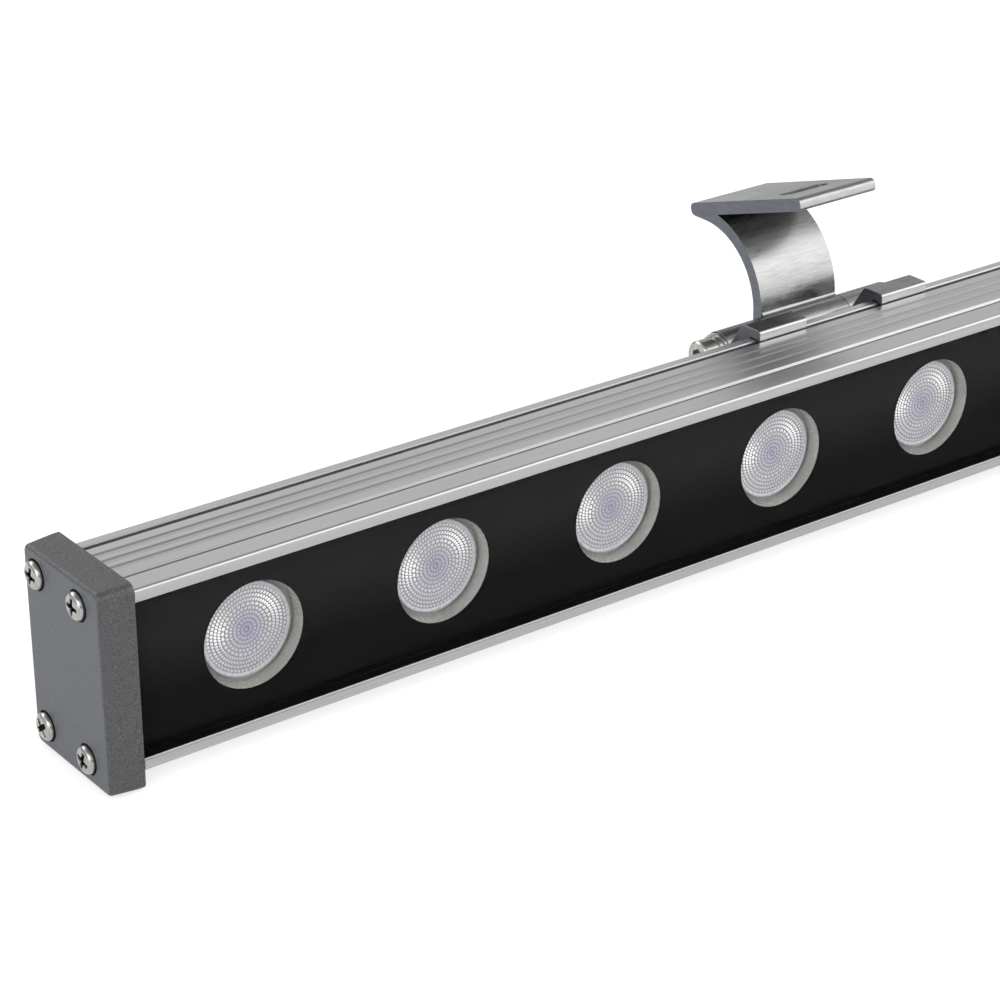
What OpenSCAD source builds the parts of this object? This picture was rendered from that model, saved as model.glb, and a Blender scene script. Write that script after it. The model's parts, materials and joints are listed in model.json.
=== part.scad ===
// Linear floodlight: an extruded housing with a row of lenses behind glass,
// cast end caps, a cable gland and two sliding, tilting mounting brackets.
// X runs along the lamp, the glass faces -Y and Z is up. Lengths are in millimetres.

/* [Lens row] */
// Number of lenses in the row
lens_count = 18; // [12:1:18]
// Distance between lens centres
lens_pitch = 54; // [46:1:60]
// Distance from the first lens centre to the end of the housing
lens_margin = 32.5; // [24:0.5:60]
// Radius of a lens at its rim
lens_r = 12.15; // [10:0.05:14]
// Height of a lens from its face to the LED board
lens_h = 10.4; // [8:0.1:12]
// Thickness of the lens rim
lens_rim_t = 1.6; // [1:0.1:2.4]
// Width of the lens rim round the lens body
lens_rim_w = 1.15; // [0.8:0.05:2]
// Wall of the lens foot round the hollow over the LED
lens_foot_wall = 1.8; // [1.2:0.1:3]
// Clearance between an LED and the hollow over it
lens_eye_gap = 0.7; // [0.4:0.1:1.2]
// Gap between the lens foot and the LED board
lens_foot_gap = 0.2; // [0.1:0.05:0.5]
// Distance from the back of the mask to the lens face
lens_setback = 3; // [1:0.1:5]
// Gap between a lens and the wall of its holder, which lines up with the window
window_gap = 1.5; // [0.5:0.05:2.5]
// Wall of a lens holder in front of its seat
holder_wall = 1.35; // [1:0.05:2]
// Clearance between a holder and the mask, and between a holder and its lens
holder_gap = 0.2; // [0.1:0.05:0.5]

/* [Housing] */
// Wall of the housing
wall_t = 2; // [1.6:0.1:2.4]
// Wall above the rear chamber, under the bracket rail
rail_wall_t = 4.5; // [4:0.1:6]
// Radius of the housing's outer edges
edge_r = 0.8; // [0.3:0.1:1.2]
// Height of the front flange above the glass
flange_top = 2.8; // [2.4:0.1:4]
// Height of the front flange below the glass
flange_low = 2.7; // [2.4:0.1:4]
// Overlap of the ledge behind the glass
ledge_w = 2.2; // [1.6:0.1:3]
// Thickness of the ledge behind the glass
ledge_t = 1.5; // [1.2:0.1:1.6]
// Thickness of the shelf that carries the LED boards
shelf_t = 3; // [2.4:0.1:3.4]
// Distance from the front face to the sharp groove in the top
sharp_groove_y = 6.4; // [5:0.1:8]
// Width of the sharp groove
sharp_groove_w = 2.2; // [1.6:0.1:2.4]
// Depth of the sharp groove
sharp_groove_h = 1.1; // [0.9:0.1:1.1]
// Chamfer of the sharp groove's rear lip
sharp_groove_lip = 0.55; // [0.2:0.05:0.8]
// Distance from the front face to the first soft groove
soft_groove_y = 12.4; // [12:0.1:13]
// Distance between soft grooves
soft_groove_pitch = 3.85; // [3.4:0.05:4]
// Number of soft grooves on the top and on the underside
soft_groove_count = 3; // [1:1:3]
// Radius of a soft groove
soft_groove_r = 1.6; // [1:0.1:2]
// Depth of a soft groove
soft_groove_h = 0.35; // [0.2:0.05:0.5]
// Distance between the shallow grooves on the rear face
rear_groove_pitch = 5; // [4:0.1:5.6]
// Number of shallow grooves on the rear face
rear_groove_count = 5; // [1:1:5]

/* [Bracket rail] */
// Distance from the housing's rear face to the back of the rail
rail_setback = 3.4; // [3:0.1:4]
// Width of the rail across the lamp
rail_w = 2.6; // [2.4:0.1:3]
// Width of the hook groove in front of the rail
hook_groove_w = 1.9; // [1.8:0.1:2.4]
// Depth of the hook groove
hook_groove_h = 2; // [1.6:0.1:2.1]
// Chamfer of the rail's front edge
rail_chamfer = 0.3; // [0.2:0.1:0.8]
// Drop from the rail's top to the shoulder behind it
shoulder_drop = 2; // [1:0.1:2.4]
// Drop from the housing's top to the underside of the rear rib
rib_drop = 13.2; // [12.5:0.1:15]
// Thickness of the rear rib
rib_t = 1.6; // [1.2:0.1:2]
// Distance that the rear rib stands out
rib_out = 1.5; // [1:0.1:1.8]

/* [Glass] */
// Thickness of the glass cover
glass_t = 3; // [2.5:0.1:4]
// Setback of the glass from the front face
glass_recess = 0.3; // [0.1:0.1:1]
// Width of the sealant bead round the glass
bead_w = 0.5; // [0.3:0.1:1]
// Thickness of the black mask behind the glass
mask_t = 0.3; // [0.2:0.1:0.6]
// Thickness of the bedding tape between the mask and the ledge
bed_t = 0.5; // [0.3:0.1:1]

/* [LED boards] */
// Clearance above and below an LED board
board_side_gap = 2.2; // [1:0.1:4]
// Thickness of an LED board
board_t = 1.6; // [1:0.1:2]
// Thickness of the thermal pad behind a board
pad_t = 0.3; // [0.2:0.1:0.8]
// Gap between the two boards, and from a board to the housing's end
board_gap = 4; // [3:0.1:6]
// Width of an LED package
led_w = 3.5; // [3:0.1:4]
// Thickness of an LED package
led_t = 0.9; // [0.6:0.1:1.2]
// Margin of an LED package round its dome
led_edge = 0.35; // [0.2:0.05:0.6]
// Shank radius of a board screw
board_screw_r = 1.25; // [1:0.05:1.5]
// Head radius of a board screw
board_screw_head_r = 2.6; // [2.2:0.1:3]
// Head height of a board screw
board_screw_head_h = 1.8; // [1.2:0.1:2]
// Radial clearance of a board screw in the boards it clamps
board_screw_gap = 0.35; // [0.2:0.05:0.5]
// Radius of an insulated lead
lead_r = 0.7; // [0.5:0.1:0.9]
// Radius of the lead hole through the shelf
lead_hole_r = 3; // [2.6:0.1:4]
// Height of a lead above or below the middle of the lens row
lead_offset = 1.2; // [1.1:0.1:1.3]
// Length of a lead on the LED board
lead_reach = 10; // [8:0.5:11]
// Height of a link wire above or below the middle of the lens row
link_offset = 9; // [8:0.5:12]
// Length of a link wire between the two boards
link_len = 12; // [10:0.5:16]

/* [Driver] */
// Length of the driver board
driver_len = 300; // [200:5:300]
// Clearance between the driver board and the screw ports
driver_side_gap = 0.6; // [0.3:0.1:2]
// Thickness of the driver board
driver_t = 1.6; // [1:0.1:2]
// Distance from mid length to the near end of the driver board
driver_start = 12; // [8:0.5:15]
// Clearance between the tallest part on the driver board and the rear wall
driver_gap = 0.5; // [0.3:0.1:2]
// Height of the screw channels that carry the driver board
channel_h = 1.8; // [1.4:0.1:2.4]
// Wall of a screw channel
channel_wall = 1.2; // [0.8:0.1:1.6]
// Distance between the two screw channels
channel_pitch = 22.5; // [20:0.5:24]
// Length of a terminal block on the driver board
terminal_len = 9; // [6:0.5:12]
// Height of a terminal block across the driver board
terminal_w = 12; // [8:0.5:14]
// Thickness of a terminal block
terminal_t = 4; // [3.4:0.1:5]
// Side of a coil
coil_w = 12; // [8:0.5:14]
// Thickness of a coil
coil_t = 4; // [3:0.1:5]
// Radius of a capacitor
capacitor_r = 2; // [1.5:0.1:2.5]
// Length of a capacitor
capacitor_len = 11; // [7:0.5:14]

/* [End caps] */
// Thickness of an end cap
cap_t = 9; // [8:0.5:12]
// Distance that a cap stands out in front of the housing
cap_front_lip = 1.6; // [0.8:0.1:2]
// Distance that a cap stands out behind the housing
cap_back_lip = 1.6; // [0.8:0.1:2]
// Distance that a cap stands up above the housing
cap_top_lip = 2.3; // [1:0.1:3]
// Distance that a cap reaches below the housing
cap_low_lip = 3.8; // [2:0.1:5]
// Corner radius of a cap seen from its end
cap_corner_r = 2; // [1.6:0.1:3]
// Edge radius of a cap's outer face
cap_edge_r = 1.2; // [0.6:0.1:1.6]
// Draft of a cap's sides
cap_draft = 0.4; // [0.1:0.1:0.8]
// Depth of the pocket inside a cap
cap_pocket_h = 4; // [2:0.1:5]
// Distance from a cap's front and back to its pocket
cap_pocket_y = 5; // [4:0.1:7]
// Distance from a screw port to a cap's pocket
cap_pocket_gap = 2; // [1:0.1:4]
// Thickness of the gasket under a cap
gasket_t = 1; // [0.5:0.1:2]
// Distance that a gasket lies inside the housing's outline
gasket_inset = 0.3; // [0.1:0.1:0.6]

/* [Cap screws] */
// Distance from the housing's front face to the front screw ports
port_front = 8.4; // [8:0.1:9]
// Distance from the housing's rear face to the rear screw ports
port_rear = 4.4; // [4:0.1:5]
// Distance from the housing's top to the upper screw ports
port_high = 4.2; // [4:0.1:5]
// Distance from the housing's bottom to the lower screw ports
port_low = 2.8; // [2.7:0.1:4]
// Clearance between the lens holders and the upper screw ports
port_gap_high = 0.4; // [0.2:0.1:3]
// Clearance between the lens holders and the lower screw ports
port_gap_low = 2.2; // [0.2:0.1:3]
// Wall of a screw port
port_wall = 1.6; // [1:0.05:1.8]
// Shank radius of a cap screw
cap_screw_r = 1.75; // [1.5:0.05:2.05]
// Head radius of a cap screw
cap_screw_head_r = 3.5; // [3.2:0.1:4.4]
// Head height of a cap screw
cap_screw_head_h = 2.8; // [2:0.1:3.2]
// Length of a cap screw under its head
cap_screw_len = 16; // [13:0.5:25]
// Gap between a screw head and the wall of its seat
seat_gap = 0.4; // [0.3:0.1:1]
// Depth of the seat round a screw head
seat_h = 1; // [0.5:0.1:1.5]
// Radial clearance of a cap screw in its cap
cap_hole_gap = 0.25; // [0.1:0.05:0.4]
// Radial clearance of a screw in the hole that its thread grips
thread_gap = 0.05; // [0.02:0.01:0.1]
// Width of the cross recess
cross_w = 1.1; // [0.8:0.1:1.4]
// Length of the cross recess
cross_len = 4.2; // [3.4:0.1:5]
// Depth of the cross recess
cross_h = 1.6; // [1:0.1:2]

/* [Cable gland] */
// Radius of the cable hole through the seal
cable_r = 3.5; // [2.5:0.1:4]
// Distance from the cap's back to the gland's axis
gland_setback = 9.4; // [9.3:0.1:12]
// Gap between the cable and the bore through the gland body
cable_gap = 0.5; // [0.2:0.1:1]
// Wall of the seal round the cable
seal_wall = 1.25; // [1:0.05:2]
// Wall of the gland body's spigot round the seal
spigot_wall = 0.65; // [0.5:0.05:1]
// Step from the spigot to the thread in the cap
gland_step = 0.6; // [0.3:0.1:1]
// Width of the gland body's hexagon beyond its thread
gland_lip = 1; // [0.8:0.1:1.1]
// Thickness of the gland body's hexagon
gland_hex_t = 5; // [3:0.5:7]
// Depth of the step under the seal
seal_step = 1; // [0.5:0.1:2]
// Length of the seal
seal_len = 8; // [6:0.5:10]
// Distance that the seal stands out of the spigot
seal_proud = 1; // [0.3:0.1:2]
// Wall of the gland nut round the spigot
gland_nut_wall = 1; // [0.6:0.1:1.4]
// Length of the gland nut's nose
gland_nose_len = 3.7; // [2:0.1:5]
// Wall of the gland nut at its mouth
gland_mouth_wall = 1.2; // [0.8:0.1:1.6]
// Clearance between the gland's own pieces
gland_gap = 0.2; // [0.1:0.05:0.3]

/* [Brackets] */
// Distance from a lamp end to the middle of its bracket
bracket_inset = 245; // [150:1:280]
// Drop from the housing's top to the hinge axis
hinge_drop = 7.9; // [7.5:0.1:8.5]
// Distance from the housing's rear face to the hinge axis
hinge_setback = 9.1; // [9:0.1:11]
// Wall of a hinge knuckle round its screw
knuckle_wall = 2.75; // [2.2:0.05:3]
// Width of the bracket arm
arm_w = 26.9; // [20:0.1:40]
// Width of a clip
clip_w = 16.6; // [12:0.1:24]
// Gap between the arm and a clip
hinge_gap = 0.2; // [0.1:0.05:0.4]
// Clearance between a clip and the rail it slides on
slide_gap = 0.25; // [0.15:0.05:0.3]
// Thickness of the arm's curved blade
blade_t = 3.4; // [2.5:0.1:4]
// Radius of the blade's rear face
blade_r = 20.8; // [18:0.1:24]
// Height of the blade's curve centre above the hinge axis
blade_rise = 5; // [4.8:0.1:8]
// Distance of the plate's front edge in front of the hinge axis
plate_reach = 11.1; // [6:0.1:14]
// Distance that the plate runs on behind the blade's crown
plate_tail = 6.8; // [6:0.1:12]
// Height of the plate's underside above the blade's underside at the crown
plate_lift = 1.45; // [0.5:0.05:2.5]
// Slope of the plate
plate_tilt = 17.7; // [12:0.1:22]
// Thickness of the plate
plate_t = 3.6; // [3:0.1:5]
// Radius of the plate's ends
plate_edge_r = 1.5; // [0.8:0.1:1.5]
// Length of the mounting slot in the plate
slot_len = 15.5; // [8:0.5:20]
// Width of the mounting slot
slot_w = 5.5; // [4:0.1:7]
// Distance from the plate's front edge to the slot's middle
slot_setback = 13.4; // [10:0.1:18]
// Thickness of the hook over the rail
hook_t = 2.6; // [2.4:0.1:3]
// Radius of the hook's front corner
hook_front_r = 0.8; // [0.4:0.1:1]
// Radius of the hook's rear corner
hook_rear_r = 2; // [1:0.1:2.2]
// Distance that the hook stands out behind the housing
hook_out = 0.7; // [0.4:0.1:1.2]
// Thickness of the hook's front leg
hook_leg_t = 1.1; // [0.9:0.1:1.3]
// Thickness of the clip's leg at the rear rib
clip_leg_t = 2.3; // [1.8:0.1:3]
// Height of the clip's toe under the rear rib
toe_h = 2.1; // [1.6:0.1:3]

/* [Hinge screw] */
// Shank radius of the hinge screw
hinge_screw_r = 2.5; // [2:0.1:3]
// Radial clearance of the hinge screw in the knuckles
hinge_fit = 0.05; // [0.02:0.01:0.1]
// Head radius of the hinge screw
hinge_head_r = 4.25; // [3.8:0.05:4.6]
// Head length of the hinge screw
hinge_head_h = 5; // [4:0.1:6]
// Width of the hexagon socket across flats
socket_flats = 4; // [3:0.5:5]
// Depth of the hexagon socket
socket_h = 2.6; // [1.5:0.1:3]
// Edge chamfer of the screw heads
head_chamfer = 0.5; // [0.2:0.1:0.8]
// Width of a flat washer's ring
washer_w = 2.35; // [1.8:0.05:3]
// Thickness of a flat washer
washer_t = 1; // [0.8:0.1:1.6]
// Width of the spring washer's ring
spring_washer_w = 1.95; // [1.5:0.05:2.2]
// Thickness of the spring washer
spring_washer_t = 1.3; // [1:0.1:1.6]
// Width of the cut through the spring washer
spring_cut_w = 0.7; // [0.4:0.1:1.2]
// Radial clearance of a washer on the screw
washer_gap = 0.15; // [0.1:0.05:0.4]
// Wall of the hinge nut between its thread and its flats
nut_wall = 1.45; // [1.2:0.05:2]
// Height of the hinge nut
nut_h = 5; // [4:0.1:6]
// Length of thread beyond the hinge nut
thread_out = 1.2; // [0.5:0.1:3]

/* [Hidden] */
$fn = 64;
// Overrun that carries a cut past the faces it opens
overrun = 1;
// Facets of the round edges inside a hull
hull_fn = 32;
// Cosine that turns a hexagon's flats into its corners
hex_share = cos(180 / 6);
// Share of a screw head's height that is its straight side
head_side_share = 0.35;
// Places of the three coils and capacitors along the driver board, as shares of its length
part_place_shares = [0.25, 0.5, 0.75];
// Distance between a coil and the capacitor beside it, as a share of the coil's side
part_gap_share = 0.4;
// Share of the gland nut's length that is its hexagon
gland_flats_share = 0.55;
// Share of the knuckle's radius at which a clip's web runs into it
web_share = 0.8;
// Steps round a rounded corner of the hook
corner_steps = 6;

// Along the lamp
housing_len = (lens_count - 1) * lens_pitch + 2 * lens_margin;
lamp_len = housing_len + 2 * (gasket_t + cap_t);

// Lens, holder and LED
window_r = lens_r + window_gap;
holder_r = window_r + holder_wall;
lens_cone_r = lens_r - lens_rim_w;
led_dome_r = led_w / 2 - led_edge;
lens_eye_r = led_w / sqrt(2) + lens_eye_gap;
lens_eye_h = led_t + led_dome_r + lens_eye_gap;
lens_foot_r = lens_eye_r + lens_foot_wall;

// Up through the lamp, from the surface that the caps stand on
port_r = cap_screw_r + thread_gap;
port_ring_r = port_r + port_wall;
housing_z = cap_low_lip;
low_port_z = housing_z + port_low;
window_z = low_port_z + port_ring_r + port_gap_low + holder_r;
high_port_z = window_z + holder_r + port_gap_high + port_ring_r;
housing_top = high_port_z + port_high;
housing_h = housing_top - housing_z;
cap_h = housing_top + cap_top_lip;
rebate_z = housing_z + flange_low;
rebate_h = housing_h - flange_low - flange_top;
glass_z = rebate_z + bead_w;
glass_h = rebate_h - 2 * bead_w;
board_z = housing_z + wall_t + board_side_gap;
board_h = housing_h - 2 * (wall_t + board_side_gap);
driver_z = low_port_z + port_ring_r + driver_side_gap;
driver_h = high_port_z - port_ring_r - driver_side_gap - driver_z;
driver_mid_z = driver_z + driver_h / 2;

// Back through the lamp, from the caps' front face
housing_y = cap_front_lip;
glass_y = housing_y + glass_recess;
mask_y = glass_y + glass_t;
bed_y = mask_y + mask_t;
ledge_y = bed_y + bed_t;
chamber_y = ledge_y + ledge_t;
holder_y = bed_y + holder_gap;
lens_y = bed_y + lens_setback;
seat_y = lens_y + lens_rim_t;
board_y = lens_y + lens_h;
pad_y = board_y + board_t;
shelf_y = pad_y + pad_t;
rear_chamber_y = shelf_y + shelf_t;
driver_y = rear_chamber_y + channel_h;
driver_face_y = driver_y + driver_t;
rear_chamber_d = channel_h + driver_t + max(terminal_t, coil_t, 2 * capacitor_r) + driver_gap;
housing_back = rear_chamber_y + rear_chamber_d + wall_t;
housing_d = housing_back - housing_y;
cap_d = housing_back + cap_back_lip;

// Boards, screws and wires along the lamp
half_count = ceil(lens_count / 2);
split_x = lens_x(half_count) - lens_pitch / 2;
board_ends = [
    [board_gap - housing_len / 2, split_x - board_gap / 2],
    [split_x + board_gap / 2, housing_len / 2 - board_gap]
];
board_screw_xs = [
    for (i = [0 : 2 : lens_count - 2])
        if (abs(lens_x(i) + lens_pitch / 2 - split_x) > lens_pitch / 4) lens_x(i) + lens_pitch / 2
];
driver_x = split_x + driver_start;
driver_end_x = driver_x + driver_len;
lead_back_y = driver_face_y + terminal_t / 2;
output_x = driver_x + lead_r;
driver_screw_xs = [
    driver_x + terminal_len + 2 * board_screw_head_r,
    driver_end_x - terminal_len - 2 * board_screw_head_r
];
channel_w = 2 * (board_screw_r + thread_gap);

// End caps and gland
screw_ys = [housing_y + port_front, housing_back - port_rear];
screw_zs = [low_port_z, high_port_z];
seat_r = cap_screw_head_r + seat_gap;
cap_head_out = cap_screw_head_h - seat_h;
pocket_z = low_port_z + port_ring_r + cap_pocket_gap;
pocket_h = high_port_z - port_ring_r - cap_pocket_gap - pocket_z;
gland_y = cap_d - gland_setback;
gland_z = cap_h / 2;
gland_bore_r = cable_r + cable_gap;
seal_r = cable_r + seal_wall;
gland_spigot_r = seal_r + spigot_wall;
gland_thread_r = gland_spigot_r + gland_step;
gland_flats = 2 * (gland_thread_r + gland_lip);
gland_spigot_h = seal_step + seal_len - seal_proud;
gland_nut_len = seal_step + seal_len + gland_nose_len;
gland_out = gland_hex_t + gland_gap + gland_nut_len;

// Brackets
rail_back = housing_back - rail_setback;
rail_front = rail_back - rail_w;
shoulder_z = housing_top - shoulder_drop;
rib_low = housing_top - rib_drop;
rib_top = rib_low + rib_t;
rib_back = housing_back + rib_out;
hinge_y = housing_back + hinge_setback;
hinge_z = housing_top - hinge_drop;
hinge_bore_r = hinge_screw_r + hinge_fit;
knuckle_r = hinge_bore_r + knuckle_wall;
bracket_half = arm_w / 2 + hinge_gap + clip_w;
bracket_x = lamp_len / 2 - bracket_inset;
crown_y = hinge_y + knuckle_r + blade_r;
crown_z = hinge_z + blade_rise + blade_r;
plate_y = hinge_y - plate_reach;
plate_depth = (crown_y + plate_tail - plate_y) / cos(plate_tilt);
plate_z = crown_z + plate_lift + plate_t / cos(plate_tilt) + (crown_y - plate_y) * tan(plate_tilt);
hook_front = rail_front - slide_gap - hook_leg_t;
hook_top = housing_top + slide_gap + hook_t;
hook_back = housing_back + hook_out;
leg_back = rib_back + slide_gap + clip_leg_t;
toe_low = rib_low - slide_gap - toe_h;
plate_rear_y = plate_y + (plate_depth - plate_edge_r) * cos(plate_tilt)
    - plate_edge_r * sin(plate_tilt) + plate_edge_r;

// The origin lies under the middle of the whole object, on the surface that it stands on
origin_x = (cap_head_out - gland_out) / 2;
origin_y = -plate_rear_y / 2;

function lens_x(i) = (i - (lens_count - 1) / 2) * lens_pitch;
function lens_name(i) = str("lens_", i < 9 ? "0" : "", i + 1);

// Placing helpers
module lamp_frame()
    translate([origin_x, origin_y, 0]) children();

// A profile drawn in Y and Z, drawn out along X from x0
module span_x(x0, len)
    translate([x0, 0, 0]) rotate([90, 0, 90]) linear_extrude(height = len) children();

// A turned piece whose own Z runs backwards, along +Y
module turned_y(x, y, z)
    translate([x, y, z]) rotate([-90, 0, 0]) children();

// A turned piece whose own Z runs along +X
module turned_x(x, y, z)
    translate([x, y, z]) rotate([0, 90, 0]) children();

// A lamp end seen with its own +X outwards and X = 0 at the end of the housing
module lamp_end(side)
    lamp_frame() mirror([side < 0 ? 1 : 0, 0, 0]) translate([housing_len / 2, 0, 0]) children();

// A bracket seen with X = 0 at its middle
module bracket_frame(side)
    lamp_frame() translate([side * bracket_x, 0, 0]) children();

module round_rect(w, h, r) {
    translate([r, 0]) square([w - 2 * r, h]);
    translate([0, r]) square([w, h - 2 * r]);
    for (x = [r, w - r], y = [r, h - r])
        translate([x, y]) circle(r = r);
}

module ring_2d(r_out, r_in)
    difference() {
        circle(r = r_out);
        circle(r = r_in);
    }

module at_ports()
    for (y = screw_ys, z = screw_zs)
        translate([y, z]) children();

// Housing: one extruded profile, then the holes drilled in its shelf
module top_groove_cuts() {
    rear_wall = sharp_groove_w - sharp_groove_lip;
    translate([housing_y + sharp_groove_y, housing_top])
        polygon([
            [0, overrun],
            [0, -sharp_groove_h],
            [rear_wall, -sharp_groove_h],
            [rear_wall, -sharp_groove_lip],
            [sharp_groove_w + overrun, overrun]
        ]);
    for (i = [0 : soft_groove_count - 1])
        translate([housing_y + soft_groove_y + i * soft_groove_pitch,
            housing_top + soft_groove_r - soft_groove_h])
            circle(r = soft_groove_r);
    translate([rail_front - hook_groove_w, housing_top - hook_groove_h])
        polygon([
            [0, 0],
            [hook_groove_w, 0],
            [hook_groove_w, hook_groove_h - rail_chamfer],
            [hook_groove_w + rail_chamfer + overrun, hook_groove_h + overrun],
            [0, hook_groove_h + overrun]
        ]);
    translate([rail_back, shoulder_z])
        square([rail_setback + overrun, shoulder_drop + overrun]);
}

module under_groove_cuts()
    for (i = [0 : soft_groove_count - 1])
        translate([housing_y + soft_groove_y + i * soft_groove_pitch,
            housing_z - soft_groove_r + soft_groove_h])
            circle(r = soft_groove_r);

module rear_groove_cuts()
    for (i = [1 : rear_groove_count])
        translate([housing_back + soft_groove_r - soft_groove_h,
            rib_low - toe_h - i * rear_groove_pitch])
            circle(r = soft_groove_r);

module front_opening() {
    translate([housing_y - overrun, rebate_z])
        square([ledge_y - housing_y + overrun, rebate_h]);
    translate([ledge_y - overrun, rebate_z + ledge_w])
        square([ledge_t + overrun, rebate_h - 2 * ledge_w]);
}

module chambers()
    difference() {
        union() {
            translate([chamber_y, housing_z + wall_t])
                square([shelf_y - chamber_y, housing_h - 2 * wall_t]);
            translate([rear_chamber_y, housing_z + wall_t])
                square([rear_chamber_d, housing_h - wall_t - rail_wall_t]);
        }
        at_ports() circle(r = port_ring_r);
        for (z = screw_zs)
            translate([ledge_y, z - port_ring_r]) square([screw_ys[0] - ledge_y, 2 * port_ring_r]);
        for (side = [-1, 1])
            translate([rear_chamber_y - overrun,
                driver_mid_z + side * channel_pitch / 2 - channel_w / 2 - channel_wall])
                square([channel_h + overrun, channel_w + 2 * channel_wall]);
    }

module channel_cuts()
    for (side = [-1, 1])
        translate([rear_chamber_y, driver_mid_z + side * channel_pitch / 2 - channel_w / 2])
            square([channel_h + overrun, channel_w]);

module housing_profile()
    difference() {
        union() {
            translate([housing_y, housing_z]) round_rect(housing_d, housing_h, edge_r);
            translate([housing_back - wall_t, rib_low]) square([wall_t + rib_out, rib_t]);
        }
        top_groove_cuts();
        under_groove_cuts();
        rear_groove_cuts();
        front_opening();
        chambers();
        channel_cuts();
        at_ports() circle(r = port_r);
    }

module housing()
    color("silver") lamp_frame()
        difference() {
            span_x(-housing_len / 2, housing_len) housing_profile();
            turned_y(split_x, shelf_y - overrun, window_z)
                cylinder(r = lead_hole_r, h = shelf_t + 2 * overrun);
            for (x = board_screw_xs)
                turned_y(x, shelf_y - overrun, window_z)
                    cylinder(r = board_screw_r + thread_gap, h = shelf_t + 2 * overrun);
        }

// Glass, its mask and its seals
module glass_cover()
    color("lightcyan", 0.4) lamp_frame()
        translate([-housing_len / 2, glass_y, glass_z]) cube([housing_len, glass_t, glass_h]);

module window_mask()
    color("black") lamp_frame()
        difference() {
            translate([-housing_len / 2, mask_y, glass_z]) cube([housing_len, mask_t, glass_h]);
            for (i = [0 : lens_count - 1])
                turned_y(lens_x(i), mask_y - overrun, window_z)
                    cylinder(r = window_r, h = mask_t + 2 * overrun);
        }

module glass_bead()
    color("gainsboro") lamp_frame()
        for (z = [rebate_z, rebate_z + rebate_h - bead_w])
            translate([-housing_len / 2, glass_y, z]) cube([housing_len, glass_t + mask_t, bead_w]);

module glass_bed()
    color("dimgray") lamp_frame()
        for (z = [rebate_z, rebate_z + rebate_h - ledge_w])
            translate([-housing_len / 2, bed_y, z]) cube([housing_len, bed_t, ledge_w]);

// Lenses, holders and LEDs
module lens(i)
    color("gainsboro", 0.6) lamp_frame() turned_y(lens_x(i), lens_y, window_z)
        difference() {
            union() {
                cylinder(r = lens_r, h = lens_rim_t);
                cylinder(r1 = lens_cone_r, r2 = lens_foot_r, h = lens_h - lens_foot_gap);
            }
            translate([0, 0, lens_h - lens_eye_h]) cylinder(r = lens_eye_r, h = lens_eye_h);
        }

module lens_holders()
    color("lightgray") lamp_frame()
        for (i = [0 : lens_count - 1])
            turned_y(lens_x(i), holder_y, window_z)
                difference() {
                    cylinder(r = holder_r, h = board_y - holder_y);
                    translate([0, 0, -overrun]) cylinder(r = window_r, h = seat_y - holder_y + overrun);
                    cylinder(r = lens_cone_r + holder_gap, h = board_y - holder_y + overrun);
                }

module led_emitters()
    color("khaki") lamp_frame()
        for (i = [0 : lens_count - 1])
            translate([lens_x(i), board_y - led_t, window_z]) {
                translate([-led_w / 2, 0, -led_w / 2]) cube([led_w, led_t, led_w]);
                rotate([90, 0, 0]) intersection() {
                    sphere(r = led_dome_r);
                    cylinder(r = 2 * led_dome_r, h = led_dome_r);
                }
            }

// Boards, pads, screws and wires
module board_blank(ends, y, t)
    lamp_frame()
        difference() {
            translate([ends[0], y, board_z]) cube([ends[1] - ends[0], t, board_h]);
            for (x = board_screw_xs)
                turned_y(x, y - overrun, window_z)
                    cylinder(r = board_screw_r + board_screw_gap, h = t + 2 * overrun);
        }

module led_board(side)
    color("white") board_blank(board_ends[side], board_y, board_t);

module thermal_pad(side)
    color("slategray") board_blank(board_ends[side], pad_y, pad_t);

// A small cross-head screw whose head's underside is at Z = 0 and whose shank runs along +Z
module small_screw(len)
    difference() {
        union() {
            translate([0, 0, -board_screw_head_h])
                cylinder(r1 = board_screw_head_r - head_chamfer, r2 = board_screw_head_r,
                    h = board_screw_head_h);
            cylinder(r = board_screw_r, h = len);
        }
        for (a = [0, 90])
            rotate(a) translate([-board_screw_head_r / 2, -board_screw_r / 4, -board_screw_head_h])
                cube([board_screw_head_r, board_screw_r / 2, board_screw_head_h / 2]);
    }

module board_screws()
    color("gainsboro") lamp_frame()
        for (x = board_screw_xs)
            turned_y(x, board_y, window_z) small_screw(board_t + pad_t + shelf_t);

// An insulated wire with round corners through a list of points
module wire(points)
    for (i = [0 : len(points) - 2]) {
        step = points[i + 1] - points[i];
        translate(points[i])
            rotate([0, acos(step[2] / norm(step)), atan2(step[1], step[0])])
                cylinder(r = lead_r, h = norm(step));
        if (i > 0) translate(points[i]) sphere(r = lead_r);
    }

module board_links()
    color("firebrick") lamp_frame()
        for (side = [-1, 1])
            turned_x(split_x - link_len / 2, board_y - lead_r, window_z + side * link_offset)
                cylinder(r = lead_r, h = link_len);

module led_leads()
    color("firebrick") lamp_frame()
        for (side = [-1, 1]) {
            z = window_z + side * lead_offset;
            wire([
                [split_x - lead_reach, board_y - lead_r, z],
                [split_x, board_y - lead_r, z],
                [split_x, lead_back_y, z],
                [output_x, lead_back_y, z]
            ]);
        }

// Driver
module driver_board()
    color("darkgreen") lamp_frame()
        difference() {
            translate([driver_x, driver_y, driver_z]) cube([driver_len, driver_t, driver_h]);
            for (x = driver_screw_xs, side = [-1, 1])
                turned_y(x, driver_y - overrun, driver_mid_z + side * channel_pitch / 2)
                    cylinder(r = board_screw_r + board_screw_gap, h = driver_t + 2 * overrun);
        }

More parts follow.
